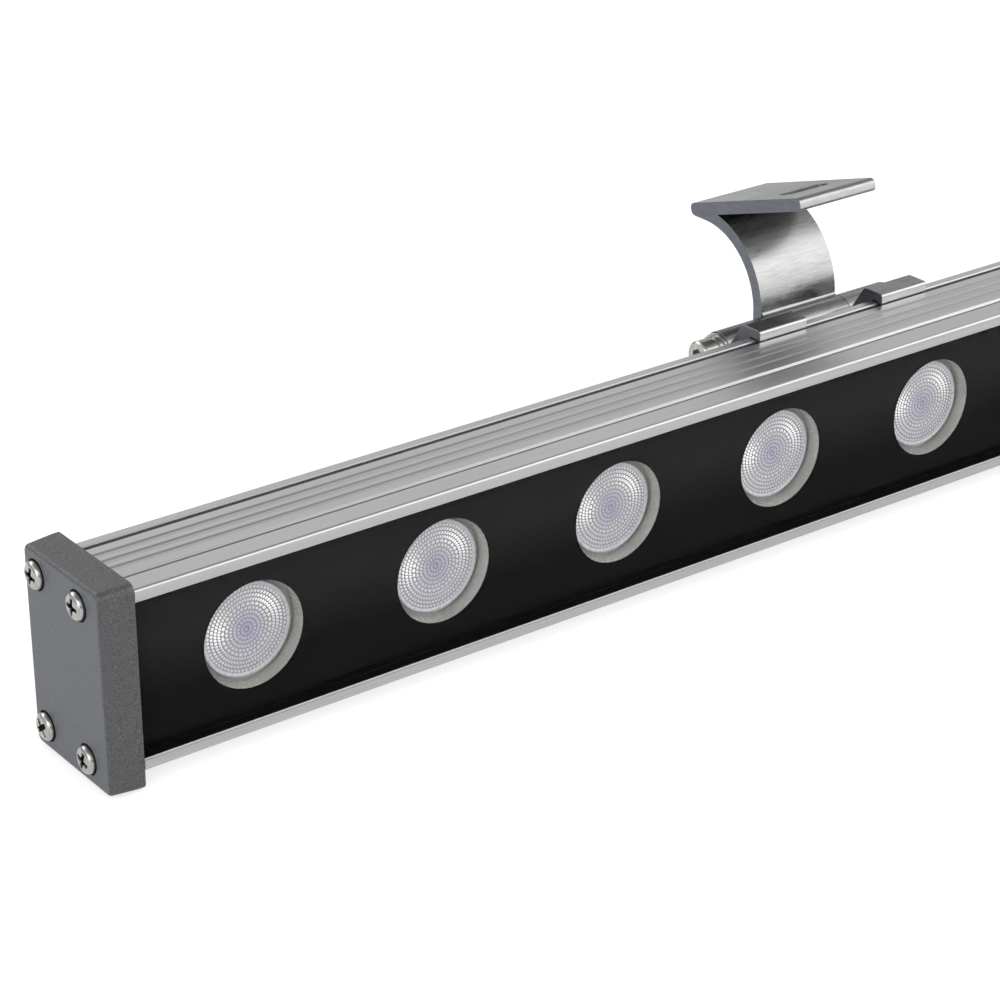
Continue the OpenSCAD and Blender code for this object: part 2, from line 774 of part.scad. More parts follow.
module driver_screws()
    color("gainsboro") lamp_frame()
        for (x = driver_screw_xs, side = [-1, 1])
            translate([x, driver_face_y, driver_mid_z + side * channel_pitch / 2])
                rotate([90, 0, 0]) small_screw(driver_t + channel_h);

module driver_coils()
    color("dimgray") lamp_frame()
        for (share = part_place_shares)
            translate([driver_x + share * driver_len, driver_face_y, window_z - coil_w / 2])
                cube([coil_w, coil_t, coil_w]);

module driver_capacitors()
    color("darkslateblue") lamp_frame()
        for (share = part_place_shares)
            turned_x(driver_x + share * driver_len + (1 + part_gap_share) * coil_w,
                driver_face_y + capacitor_r, window_z)
                cylinder(r = capacitor_r, h = capacitor_len);

module terminal_block(x)
    color("seagreen") lamp_frame()
        translate([x, driver_face_y, window_z - terminal_w / 2])
            cube([terminal_len, terminal_t, terminal_w]);

module output_terminal()
    terminal_block(output_x);

module supply_terminal()
    terminal_block(driver_end_x - terminal_len);

// End caps
module cap_blank()
    hull() {
        for (y = [cap_corner_r, cap_d - cap_corner_r], z = [cap_corner_r, cap_h - cap_corner_r])
            turned_x(0, y, z) cylinder(r = cap_corner_r, h = cap_edge_r, $fn = hull_fn);
        for (y = [cap_draft + cap_corner_r, cap_d - cap_draft - cap_corner_r],
            z = [cap_draft + cap_corner_r, cap_h - cap_draft - cap_corner_r])
            turned_x(cap_t - cap_edge_r, y, z)
                rotate_extrude($fn = hull_fn)
                    intersection() {
                        translate([cap_corner_r - cap_edge_r, 0]) circle(r = cap_edge_r, $fn = hull_fn);
                        square([cap_corner_r, cap_corner_r]);
                    }
    }

module cap(side)
    color("dimgray") lamp_end(side) translate([gasket_t, 0, 0])
        difference() {
            cap_blank();
            translate([-overrun, cap_pocket_y, pocket_z])
                cube([cap_pocket_h + overrun, cap_d - 2 * cap_pocket_y, pocket_h]);
            for (y = screw_ys, z = screw_zs) {
                turned_x(-overrun, y, z)
                    cylinder(r = cap_screw_r + cap_hole_gap, h = cap_t + 2 * overrun);
                turned_x(cap_t - seat_h, y, z) cylinder(r = seat_r, h = seat_h + overrun);
            }
            if (side > 0)
                turned_x(-overrun, gland_y, gland_z)
                    cylinder(r = gland_thread_r, h = cap_t + 2 * overrun);
        }

module cap_gasket(side)
    color("gray") lamp_end(side)
        span_x(0, gasket_t)
            difference() {
                translate([housing_y + gasket_inset, housing_z + gasket_inset])
                    round_rect(housing_d - 2 * gasket_inset, housing_h - 2 * gasket_inset, edge_r);
                translate([cap_pocket_y, pocket_z])
                    square([cap_d - 2 * cap_pocket_y, pocket_h]);
                at_ports() circle(r = cap_screw_r + cap_hole_gap);
            }

// Pan-head cross screw whose head's underside is at Z = 0 and whose head points along +Z
module pan_screw() {
    side_h = cap_screw_head_h * head_side_share;
    difference() {
        union() {
            cylinder(r = cap_screw_head_r, h = side_h);
            translate([0, 0, side_h]) rotate_extrude()
                intersection() {
                    scale([cap_screw_head_r, cap_screw_head_h - side_h]) circle(r = 1);
                    square([cap_screw_head_r, cap_screw_head_h]);
                }
            translate([0, 0, -cap_screw_len]) cylinder(r = cap_screw_r, h = cap_screw_len);
        }
        for (a = [0, 90])
            rotate(a) translate([-cross_len / 2, -cross_w / 2, cap_screw_head_h - cross_h])
                cube([cross_len, cross_w, cross_h + overrun]);
    }
}

module cap_screws(side)
    color("gainsboro") lamp_end(side)
        for (y = screw_ys, z = screw_zs)
            turned_x(gasket_t + cap_t - seat_h, y, z) pan_screw();

// Cable gland in the right cap, with its own X = 0 at the cap's outer face
module gland_frame()
    lamp_end(1) turned_x(gasket_t + cap_t, gland_y, gland_z) children();

module hexagon(flats, h)
    cylinder(r = flats / 2 / hex_share, h = h, $fn = 6);

module gland_body()
    color("dimgray") gland_frame()
        difference() {
            union() {
                translate([0, 0, cap_pocket_h - cap_t])
                    cylinder(r = gland_thread_r - thread_gap, h = cap_t - cap_pocket_h);
                hexagon(gland_flats, gland_hex_t);
                translate([0, 0, gland_hex_t]) cylinder(r = gland_spigot_r, h = gland_spigot_h);
            }
            translate([0, 0, -cap_t]) cylinder(r = gland_bore_r, h = cap_t + gland_out);
            translate([0, 0, gland_hex_t + seal_step])
                cylinder(r = seal_r, h = gland_spigot_h + overrun);
        }

module gland_seal()
    color("black") gland_frame()
        translate([0, 0, gland_hex_t + seal_step])
            difference() {
                cylinder(r = seal_r - thread_gap, h = seal_len);
                translate([0, 0, -overrun]) cylinder(r = cable_r, h = seal_len + 2 * overrun);
            }

module gland_nut() {
    nut_r = gland_spigot_r + gland_nut_wall;
    color("dimgray") gland_frame()
        translate([0, 0, gland_hex_t + gland_gap])
            difference() {
                union() {
                    hexagon(gland_flats, gland_nut_len * gland_flats_share);
                    cylinder(r = nut_r, h = gland_nut_len - gland_nose_len);
                    translate([0, 0, gland_nut_len - gland_nose_len])
                        cylinder(r1 = nut_r, r2 = gland_bore_r + gland_mouth_wall, h = gland_nose_len);
                }
                translate([0, 0, -overrun])
                    cylinder(r = gland_spigot_r + thread_gap,
                        h = gland_nut_len - gland_nose_len + overrun);
                cylinder(r = gland_bore_r, h = gland_nut_len + overrun);
            }
}

// Brackets
module arm_profile()
    difference() {
        union() {
            translate([hinge_y, hinge_z]) circle(r = knuckle_r);
            translate([hinge_y + knuckle_r - blade_t, hinge_z]) square([blade_t, blade_rise]);
            intersection() {
                translate([crown_y, crown_z - blade_r]) ring_2d(blade_r + blade_t, blade_r);
                translate([hinge_y, crown_z - blade_r])
                    square([crown_y - hinge_y, blade_r + blade_t]);
            }
            translate([plate_y, plate_z]) rotate(-plate_tilt) translate([0, -plate_t])
                round_rect(plate_depth, plate_t, plate_edge_r);
            // The blade's level underside runs on until the plate's own underside meets it
            polygon([
                [crown_y - blade_t, crown_z + plate_lift],
                [crown_y, crown_z],
                [crown_y + plate_lift / tan(plate_tilt), crown_z],
                [crown_y, crown_z + plate_lift + plate_t / 2]
            ]);
        }
        translate([hinge_y, hinge_z]) circle(r = hinge_bore_r);
    }

module slot_cut(len, w, h) {
    translate([-(len - w) / 2, -w / 2, 0]) cube([len - w, w, h]);
    for (side = [-1, 1])
        translate([side * (len - w) / 2, 0, 0]) cylinder(r = w / 2, h = h);
}

module arm(side)
    color("lightgray") bracket_frame(side)
        difference() {
            span_x(-arm_w / 2, arm_w) arm_profile();
            translate([0, plate_y, plate_z]) rotate([-plate_tilt, 0, 0])
                translate([0, slot_setback, -plate_t - overrun])
                    slot_cut(slot_len, slot_w, plate_t + 2 * overrun);
        }

// Points clockwise round a corner, from one angle to another
function corner_points(y, z, r, from, to) = [
    for (i = [0 : corner_steps])
        let (a = from + (to - from) * i / corner_steps)
        [y + r * cos(a), z + r * sin(a)]
];

module clip_profile() {
    gap = slide_gap;
    leg_tip_z = housing_top - hook_groove_h + 2 * gap;
    web_r = knuckle_r * web_share;
    polygon(concat(
        [[hook_front, leg_tip_z]],
        corner_points(hook_front + hook_front_r, hook_top - hook_front_r, hook_front_r, 180, 90),
        corner_points(hook_back - hook_rear_r, hook_top - hook_rear_r, hook_rear_r, 90, 30),
        [
            [hinge_y - web_r * cos(30), hinge_z + web_r * sin(30)],
            [hinge_y - web_r * sin(45), hinge_z - web_r * cos(45)],
            [leg_back, rib_low],
            [leg_back, toe_low],
            [housing_back + gap, toe_low],
            [housing_back + gap, rib_low - gap],
            [rib_back + gap, rib_low - gap],
            [rib_back + gap, rib_top + gap],
            [housing_back + gap, rib_top + gap],
            [housing_back + gap, shoulder_z + gap],
            [rail_back + gap, shoulder_z + gap],
            [rail_back + gap, housing_top + gap],
            [rail_front - gap, housing_top + gap],
            [rail_front - gap, leg_tip_z]
        ]
    ));
}

module clip(side, place) {
    x0 = place < 0 ? -bracket_half : bracket_half - clip_w;
    color("darkgray") bracket_frame(side)
        difference() {
            union() {
                span_x(x0, clip_w) clip_profile();
                turned_x(x0, hinge_y, hinge_z) cylinder(r = knuckle_r, h = clip_w);
            }
            turned_x(x0 - overrun, hinge_y, hinge_z)
                cylinder(r = hinge_bore_r, h = clip_w + 2 * overrun);
        }
}

module hinge_line(side, x)
    bracket_frame(side) turned_x(x, hinge_y, hinge_z) children();

module hinge_screw(side) {
    stack_h = spring_washer_t + washer_t;
    color("gainsboro") hinge_line(side, -bracket_half - stack_h)
        difference() {
            union() {
                translate([0, 0, -hinge_head_h])
                    cylinder(r1 = hinge_head_r - head_chamfer, r2 = hinge_head_r, h = head_chamfer);
                translate([0, 0, head_chamfer - hinge_head_h])
                    cylinder(r = hinge_head_r, h = hinge_head_h - head_chamfer);
                cylinder(r = hinge_screw_r,
                    h = stack_h + 2 * bracket_half + washer_t + nut_h + thread_out);
            }
            translate([0, 0, -hinge_head_h - overrun]) hexagon(socket_flats, socket_h + overrun);
        }
}

module washer(w, t)
    linear_extrude(height = t)
        ring_2d(hinge_screw_r + washer_gap + w, hinge_screw_r + washer_gap);

module hinge_washers(side) {
    color("gainsboro") hinge_line(side, -bracket_half - washer_t) washer(washer_w, washer_t);
    color("gainsboro") hinge_line(side, -bracket_half - washer_t - spring_washer_t)
        difference() {
            washer(spring_washer_w, spring_washer_t);
            translate([0, -spring_cut_w / 2, -overrun])
                cube([hinge_head_r + overrun, spring_cut_w, spring_washer_t + 2 * overrun]);
        }
    color("gainsboro") hinge_line(side, bracket_half) washer(washer_w, washer_t);
}

module hinge_nut(side)
    color("gainsboro") hinge_line(side, bracket_half + washer_t)
        difference() {
            hexagon(2 * (hinge_bore_r + nut_wall), nut_h);
            translate([0, 0, -overrun]) cylinder(r = hinge_bore_r, h = nut_h + 2 * overrun);
        }

housing();
glass_cover();
window_mask();
glass_bead();
glass_bed();
lens_holders();
led_emitters();
led_board(0);  // led_board_left
led_board(1);  // led_board_right
thermal_pad(0);  // thermal_pad_left
thermal_pad(1);  // thermal_pad_right
board_screws();
board_links();
led_leads();
driver_board();
driver_screws();
driver_coils();
driver_capacitors();
output_terminal();
supply_terminal();
cap(-1);  // left_cap
cap(1);  // right_cap
cap_gasket(-1);  // left_cap_gasket
cap_gasket(1);  // right_cap_gasket
cap_screws(-1);  // left_cap_screws
cap_screws(1);  // right_cap_screws
gland_body();
gland_seal();
gland_nut();
arm(-1);  // left_arm
clip(-1, -1);  // left_outer_clip
clip(-1, 1);  // left_inner_clip
hinge_screw(-1);  // left_hinge_screw
hinge_washers(-1);  // left_hinge_washers
hinge_nut(-1);  // left_hinge_nut
arm(1);  // right_arm
clip(1, 1);  // right_outer_clip
clip(1, -1);  // right_inner_clip
hinge_screw(1);  // right_hinge_screw
hinge_washers(1);  // right_hinge_washers
hinge_nut(1);  // right_hinge_nut
for (i = [0 : lens_count - 1])
    lens(i);
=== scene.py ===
import json
import math

import bpy
from mathutils import Matrix, Vector

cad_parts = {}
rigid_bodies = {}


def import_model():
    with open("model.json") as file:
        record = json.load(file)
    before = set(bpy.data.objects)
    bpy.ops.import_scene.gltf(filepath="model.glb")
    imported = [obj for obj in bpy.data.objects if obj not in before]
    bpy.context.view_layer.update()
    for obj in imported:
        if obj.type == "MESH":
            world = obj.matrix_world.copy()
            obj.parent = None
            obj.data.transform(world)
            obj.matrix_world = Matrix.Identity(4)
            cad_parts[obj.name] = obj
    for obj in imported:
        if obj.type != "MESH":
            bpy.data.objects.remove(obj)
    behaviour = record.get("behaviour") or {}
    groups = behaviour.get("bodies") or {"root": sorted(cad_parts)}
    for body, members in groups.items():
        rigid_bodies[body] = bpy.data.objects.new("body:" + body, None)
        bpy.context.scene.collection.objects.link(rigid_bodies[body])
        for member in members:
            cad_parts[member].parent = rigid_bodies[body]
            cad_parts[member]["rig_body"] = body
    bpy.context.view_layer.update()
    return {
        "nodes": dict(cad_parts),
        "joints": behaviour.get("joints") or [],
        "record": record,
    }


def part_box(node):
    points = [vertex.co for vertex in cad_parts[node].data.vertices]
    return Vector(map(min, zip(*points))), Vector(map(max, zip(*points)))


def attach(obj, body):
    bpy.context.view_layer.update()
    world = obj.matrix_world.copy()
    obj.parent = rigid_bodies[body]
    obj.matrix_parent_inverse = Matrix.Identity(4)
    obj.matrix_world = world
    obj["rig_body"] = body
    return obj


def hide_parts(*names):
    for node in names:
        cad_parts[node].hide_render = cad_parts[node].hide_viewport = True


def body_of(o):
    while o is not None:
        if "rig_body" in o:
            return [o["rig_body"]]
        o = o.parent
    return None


MM = 0.001
WHITE = (1.0, 1.0, 1.0, 1.0)
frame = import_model()
nodes = frame["nodes"]


# Shader nodes


class Graph:
    """A tree of shader nodes, each added with its inputs and its settings."""

    def __init__(self, tree):
        self.tree = tree
        tree.nodes.clear()

    def add(self, kind, inputs=None, **settings):
        """A new node. Its inputs, by label or by place, take plain values or sockets."""
        node = self.tree.nodes.new(kind)
        for key, value in settings.items():
            setattr(node, key, value)
        for key, value in (inputs or {}).items():
            self.feed(node.inputs[key], value)
        return node

    def feed(self, socket, value):
        """Links one socket to another, or gives it a plain value."""
        if isinstance(value, bpy.types.NodeSocket):
            self.tree.links.new(value, socket)
        else:
            socket.default_value = value

    def math(self, operation, *values):
        """The result of one operation on plain values or sockets."""
        return self.add("ShaderNodeMath", dict(enumerate(values)), operation=operation).outputs[0]

    def coordinate(self, kind, axis):
        """One axis of the coordinates of a kind: Object, Normal or Generated."""
        coords = self.add("ShaderNodeTexCoord").outputs[kind]
        return self.add("ShaderNodeSeparateXYZ", {"Vector": coords}).outputs[axis]

    def mark(self, label):
        """The number that each vertex carries under this label."""
        return self.add("ShaderNodeAttribute", attribute_name=label).outputs["Fac"]

    def noise(self, scale=1.0, stretch=(1.0, 1.0, 1.0), detail=3.0, rough=0.5):
        """Noise fixed to the piece, with its coordinates stretched along X, Y and Z."""
        coords = self.add("ShaderNodeTexCoord").outputs["Object"]
        place = self.add("ShaderNodeMapping", {"Vector": coords, "Scale": stretch}).outputs[0]
        inputs = {"Vector": place, "Scale": scale, "Detail": detail, "Roughness": rough}
        return self.add("ShaderNodeTexNoise", inputs).outputs[0]

    def spread(self, value, low=0.0, high=1.0, start=0.3, end=0.7):
        """value, with start to end mapped to low to high."""
        inputs = {"Value": value, "From Min": start, "From Max": end, "To Min": low, "To Max": high}
        return self.add("ShaderNodeMapRange", inputs).outputs[0]

    def blend(self, share, first, second):
        """The first colour at a share of 0, the second at 1."""
        mix = self.add("ShaderNodeMix", data_type="RGBA")
        self.feed(mix.inputs[0], share)
        self.feed(mix.inputs[6], first)
        self.feed(mix.inputs[7], second)
        return mix.outputs[2]

    def tint(self, share, dark, light):
        """A colour from dark to light, each given as red, green and blue."""
        return self.blend(share, (*dark, 1.0), (*light, 1.0))

    def bump(self, height, strength, depth, normal=None):
        """A normal that rises and falls with height, by a depth in millimetres."""
        inputs = {"Height": height, "Strength": strength, "Distance": depth * MM}
        if normal is not None:
            inputs["Normal"] = normal
        return self.add("ShaderNodeBump", inputs).outputs[0]

    def facing(self, axis, sign, start=0.8, end=0.95):
        """1 on faces that look along sign * axis, 0 elsewhere."""
        side = self.math("MULTIPLY", self.coordinate("Normal", axis), sign)
        return self.spread(side, start=start, end=end)

    def either_way(self, axis, start, end):
        """1 on faces that look along axis or against it, 0 elsewhere."""
        return self.spread(self.math("ABSOLUTE", self.coordinate("Normal", axis)), start=start, end=end)

    def ray(self, kind):
        """1 for rays of one kind, 0 for others."""
        return self.add("ShaderNodeLightPath").outputs["Is " + kind + " Ray"]

    def seen(self):
        """1 for camera, glossy and transmission rays, 0 for others."""
        value = self.ray("Camera")
        for kind in ("Glossy", "Transmission"):
            value = self.math("MAXIMUM", value, self.ray(kind))
        return value

    def mix_shaders(self, share, first, second):
        """The first shader at a share of 0, the second at 1."""
        return self.add("ShaderNodeMixShader", {0: share, 1: first, 2: second}).outputs[0]


class Skin(Graph):
    """A material with one principled shader."""

    def __init__(self, name):
        self.material = bpy.data.materials.new(name)
        self.material.use_nodes = True
        super().__init__(self.material.node_tree)
        self.shader = self.add("ShaderNodeBsdfPrincipled")
        self.output = self.add("ShaderNodeOutputMaterial", {"Surface": self.shader.outputs[0]})

    def set(self, **inputs):
        """Feeds inputs of the shader, named with _ for each space."""
        for key, value in inputs.items():
            self.feed(self.shader.inputs[key.replace("_", " ")], value)


# Materials


def aluminium(name, dark, light, rough, streak, along=6.0, sawn_and_shaded=None, front=None, top=None):
    """Satin extrusion: die lines along X, a fine grain and softly uneven gloss.

    sawn_and_shaded colours the cut ends: saw marks, and a darker bluish tone that is painted shade.
    front paints a highlight on the faces that look forward, and top paints shade on those that look
    up. Each is a dark and a light colour, and front ends with the limits of what counts as forward.
    """
    g = Skin(name)
    lines = g.noise(stretch=(along, 1400.0, 1400.0), detail=4.0, rough=0.6)
    grain = g.noise(5200.0, stretch=(0.35, 1.0, 1.0), detail=2.0)
    cloud = g.noise(stretch=(14.0, 40.0, 40.0), detail=2.0)
    shade = g.spread(lines)
    colour = g.tint(shade, dark, light)
    gloss = g.math("ADD", g.spread(lines, *rough), g.spread(cloud, -0.03, 0.03))
    # The cut ends: the saw marks are real, and their darker bluish tone is painted shade.
    if sawn_and_shaded:
        ends = g.either_way("X", 0.85, 0.95)
        cut = g.noise(stretch=(900.0, 260.0, 2600.0), detail=4.0, rough=0.6)
        colour = g.blend(ends, colour, g.tint(g.spread(cut), *sawn_and_shaded))
        gloss = g.math("ADD", gloss, g.math("MULTIPLY", ends, 0.12))
    # Faces that look forward are painted lighter: a painted highlight.
    if front:
        front_highlight = g.facing("Y", -1.0, *front[2:])
        colour = g.blend(front_highlight, colour, g.tint(shade, *front[:2]))
    # Faces that look up are painted darker: painted shade.
    if top:
        colour = g.blend(g.facing("Z", 1.0), colour, g.tint(shade, *top))
    skin = g.bump(grain, strength=0.35, depth=0.01)
    skin = g.bump(lines, strength=streak, depth=0.012, normal=skin)
    g.set(Base_Color=colour, Metallic=1.0, Roughness=gloss, Normal=skin)
    return g.material


def paint(name):
    """Powder coat: fine peaks with pale flecks, smoother and bluer on the outer face."""
    g = Skin(name)
    ends = g.either_way("X", 0.85, 0.95)
    peaks = g.noise(2600.0, rough=0.6)
    flecks = g.noise(4200.0, detail=1.0)
    sides = g.tint(g.spread(flecks, start=0.4, end=0.66), (0.06, 0.061, 0.063), (0.138, 0.14, 0.145))
    face = g.tint(g.spread(peaks, start=0.36, end=0.64), (0.092, 0.099, 0.11), (0.15, 0.16, 0.175))
    g.set(
        Base_Color=g.blend(ends, sides, face),
        Metallic=0.25,
        Roughness=g.spread(flecks, 0.5, 0.36),
        Normal=g.bump(peaks, strength=g.spread(ends, 0.3, 0.1, start=0.0, end=1.0), depth=0.03),
    )
    return g.material


def steel(name):
    """Bright stainless steel, painted dark down in the recesses that the vertices mark: painted shade.
    """
    g = Skin(name)
    fine = g.noise(1800.0)
    marks = g.noise(stretch=(300.0, 2500.0, 300.0), rough=0.6)
    deep = g.mark("recess")
    bright = g.tint(g.spread(marks), (0.38, 0.377, 0.362), (0.52, 0.516, 0.5))
    # The recess is painted dark: painted shade.
    recess_shade = g.tint(fine, (0.012, 0.012, 0.011), (0.03, 0.029, 0.027))
    g.set(
        Base_Color=g.blend(deep, bright, recess_shade),
        Metallic=1.0,
        Roughness=g.math("ADD", g.spread(fine, 0.14, 0.26), g.math("MULTIPLY", deep, 0.3)),
        Normal=g.bump(marks, strength=0.15, depth=0.01),
    )
    return g.material


def moulded(name, dark, light, rough, grain=1500.0, depth=0.02):
    """Moulded plastic, rubber or solder resist, by its colours, its gloss and its grain."""
    g = Skin(name)
    fine = g.noise(grain)
    cloud = g.noise(120.0, detail=2.0)
    g.set(
        Base_Color=g.tint(g.spread(cloud), dark, light),
        Roughness=g.spread(fine, *rough),
        Normal=g.bump(fine, strength=0.3, depth=depth),
    )
    return g.material


def print_black(name):
    """Gloss black print under the glass, painted lighter towards its upper edge: a painted reflection.
    """
    g = Skin(name)
    sheen_from, sheen_to = 20.0 * MM, 34.0 * MM
    speck = g.noise(700.0, detail=2.0)
    height = g.math("ADD", g.coordinate("Object", "Z"), g.spread(speck, -1.0 * MM, 1.0 * MM))
    # Lighter towards the upper edge: a painted reflection.
    upper = g.spread(height, start=sheen_from, end=sheen_to)
    g.set(
        Base_Color=g.tint(upper, (0.0045, 0.0045, 0.0045), (0.0135, 0.0135, 0.0135)),
        Roughness=g.spread(speck, 0.04, 0.08),
        IOR=1.1,
    )
    return g.material


def sealant(name):
    """Clear silicone: pale at its front, with painted shade on its faces that look up or down."""
    g = Skin(name)
    fine = g.noise(900.0)
    # Faces that look up or down are painted dark: painted shade.
    flat = g.either_way("Z", 0.7, 0.9)
    pale = g.tint(g.spread(fine), (0.55, 0.55, 0.54), (0.68, 0.68, 0.67))
    dark = g.tint(g.spread(fine), (0.008, 0.008, 0.008), (0.016, 0.016, 0.016))
    g.set(
        Base_Color=g.blend(flat, pale, dark),
        Roughness=g.spread(fine, 0.35, 0.5),
        Specular_IOR_Level=0.2,
        Normal=g.bump(fine, strength=0.2, depth=0.02),
    )
    return g.material


def clear_glass(name):
    """Clear glass that lets the lamps through. The print behind it carries the shine of the front."""
    g = Skin(name)
    smear = g.noise(18.0, stretch=(1.0, 1.0, 3.0), detail=2.0)
    g.set(
        Base_Color=g.tint(g.spread(smear), (0.97, 0.985, 0.98), (1.0, 1.0, 1.0)),
        Roughness=g.spread(smear, 0.0, 0.03),
        IOR=1.0,
        Transmission_Weight=1.0,
    )
    clear = g.add("ShaderNodeBsdfTransparent").outputs[0]
    mixed = g.mix_shaders(g.ray("Shadow"), g.shader.outputs[0], clear)
    g.feed(g.output.inputs["Surface"], mixed)
    return g.material


def optic(name):
    """A moulded optic: painted highlights on the bead crests over painted shade in the valleys, most so
    where the vertices mark a flare.
    """
    g = Skin(name)
    cloud = g.noise(900.0, detail=2.0)
    bead = g.mark("bead")
    flare = g.mark("flare")
    rim = g.mark("rim")
    middle = g.mark("middle")

    def by_place(plain, lilac, lit):
        colour = g.blend(middle, g.tint(cloud, *plain), g.tint(cloud, *lilac))
        return g.blend(flare, colour, g.tint(cloud, *lit))

    # The valleys are painted dark: painted shade, darkest where a flare is marked.
    valley_shade = by_place(
        plain=((0.22, 0.218, 0.235), (0.28, 0.278, 0.295)),
        lilac=((0.17, 0.16, 0.23), (0.22, 0.21, 0.29)),
        lit=((0.05, 0.05, 0.055), (0.09, 0.09, 0.095)),
    )
    # The crests are painted light: painted highlight, near white where a flare is marked.
    crest_highlight = by_place(
        plain=((0.46, 0.455, 0.48), (0.54, 0.535, 0.56)),
        lilac=((0.32, 0.31, 0.4), (0.39, 0.38, 0.47)),
        lit=((0.96, 0.955, 0.94), (1.0, 1.0, 0.99)),
    )
    crest_from = g.math("SUBTRACT", 0.62, g.math("MULTIPLY", flare, 0.22))
    beads = g.blend(g.spread(bead, start=0.08, end=crest_from), valley_shade, crest_highlight)
    smooth = g.tint(cloud, (0.37, 0.365, 0.4), (0.43, 0.425, 0.455))
    g.set(
        Base_Color=g.blend(rim, beads, smooth),
        Roughness=g.math("ADD", g.spread(cloud, 0.1, 0.2), g.math("MULTIPLY", rim, 0.15)),
        Metallic=g.spread(rim, 0.45, 0.1, start=0.0, end=1.0),
        IOR=1.49,
    )
    return g.material


# The arguments of aluminium
METALS = {
    "housing_aluminium": {
        "dark": (0.46, 0.46, 0.465),
        "light": (0.52, 0.52, 0.525),
        "rough": (0.31, 0.38),
        "streak": 0.15,
    },
    "bracket_aluminium": {
        "dark": (0.29, 0.29, 0.293),
        "light": (0.4, 0.398, 0.393),
        "rough": (0.24, 0.32),
        "streak": 0.3,
        "along": 220.0,
        # The bracket's cut ends and upward faces carry painted shade, and its forward faces a painted
        # highlight.
        "sawn_and_shaded": ((0.13, 0.143, 0.162), (0.18, 0.194, 0.216)),
        "front": ((0.5, 0.498, 0.49), (0.64, 0.638, 0.63), 0.96, 1.0),
        "top": ((0.15, 0.15, 0.152), (0.21, 0.209, 0.206)),
    },
    "clip_aluminium": {
        "dark": (0.15, 0.15, 0.152),
        "light": (0.27, 0.268, 0.265),
        "rough": (0.24, 0.34),
        "streak": 0.3,
        "along": 120.0,
        # The clip's cut ends carry painted shade, and its forward faces a painted highlight.
        "sawn_and_shaded": ((0.1, 0.108, 0.12), (0.16, 0.168, 0.18)),
        "front": ((0.5, 0.5, 0.49), (0.64, 0.64, 0.63), 0.2, 1.0),
    },
}
# Dark and light colour, range of roughness, and for some the scale and the depth of the grain
MOULDINGS = {
    "holder_grey": ((0.34, 0.33, 0.315), (0.4, 0.39, 0.37), (0.2, 0.3)),
    "board_white": ((0.74, 0.74, 0.71), (0.82, 0.82, 0.8), (0.3, 0.45)),
    "led_yellow": ((0.8, 0.66, 0.24), (0.88, 0.76, 0.34), (0.2, 0.35)),
    "pad_grey": ((0.3, 0.31, 0.33), (0.38, 0.39, 0.41), (0.7, 0.85)),
    "seal_black": ((0.02, 0.02, 0.02), (0.045, 0.045, 0.045), (0.5, 0.7), 2400.0, 0.04),
    "wire_red": ((0.4, 0.04, 0.03), (0.5, 0.06, 0.05), (0.35, 0.5)),
    "driver_green": ((0.02, 0.16, 0.06), (0.04, 0.22, 0.09), (0.3, 0.45)),
    "coil_black": ((0.04, 0.04, 0.04), (0.06, 0.06, 0.06), (0.45, 0.6)),
    "capacitor_blue": ((0.02, 0.04, 0.17), (0.04, 0.06, 0.23), (0.2, 0.35)),
    "terminal_green": ((0.08, 0.3, 0.12), (0.12, 0.38, 0.17), (0.4, 0.55)),
    "gland_nylon": ((0.045, 0.047, 0.05), (0.06, 0.062, 0.066), (0.4, 0.55), 2200.0, 0.05),
}
# Materials with a function of their own
OTHERS = {
    "cap_paint": paint,
    "front_glass": clear_glass,
    "mask_black": print_black,
    "lens_clear": optic,
    "sealant_clear": sealant,
    "screw_steel": steel,
}
materials = {name: aluminium(name, **look) for name, look in METALS.items()}
materials.update({name: moulded(name, *look) for name, look in MOULDINGS.items()})
materials.update({name: make(name) for name, make in OTHERS.items()})
slot_of = {part["node"]: part["material_slot"] for part in frame["record"]["subparts"]}
for name, obj in nodes.items():
    obj.data.materials.clear()
    obj.data.materials.append(materials[slot_of[name]])


# Edges of the CAD nodes


def soften(name, width, angle=35.0):
    """Breaks the sharp edges of a CAD node, as deburring and moulding do."""
    obj = nodes[name]
    weld = obj.modifiers.new("weld", "WELD")
    weld.merge_threshold = MM / 1000
    flat = obj.modifiers.new("flat", "DECIMATE")
    flat.decimate_type = "DISSOLVE"
    flat.angle_limit = math.radians(0.5)
    bevel = obj.modifiers.new("edges", "BEVEL")
    bevel.limit_method = "ANGLE"
    bevel.angle_limit = math.radians(angle)
    bevel.width = width * MM
    bevel.segments = 2
    bevel.use_clamp_overlap = True
    shade = obj.modifiers.new("shade", "WEIGHTED_NORMAL")
    shade.keep_sharp = False


# Widths of the broken edges, in millimetres
BRACKET_EDGES = {
    "arm": 0.22,
    "outer_clip": 0.2,
    "inner_clip": 0.2,
    "hinge_nut": 0.2,
    "hinge_screw": 0.12,
    "hinge_washers": 0.1,
}
for side in ("left", "right"):
    for part, width in BRACKET_EDGES.items():
        soften(side + "_" + part, width)
soften("housing", 0.12, 36.0)


# New pieces


def make_mesh(name, verts, faces, slot, smooth=True):
    mesh = bpy.data.meshes.new(name)
    mesh.from_pydata(verts, [], faces)
    mesh.validate()
    if smooth:
        mesh.shade_smooth()
    mesh.materials.append(materials[slot])
    return mesh


def piece(name, mesh, replaced, body="lamp", at=(0.0, 0.0, 0.0)):
    """Shows a mesh that rides on a body and stands for the replaced CAD nodes."""
    obj = bpy.data.objects.new(name, mesh)
    bpy.context.scene.collection.objects.link(obj)
    obj.location = at
    bpy.context.view_layer.update()
    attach(obj, body)
    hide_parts(*replaced)


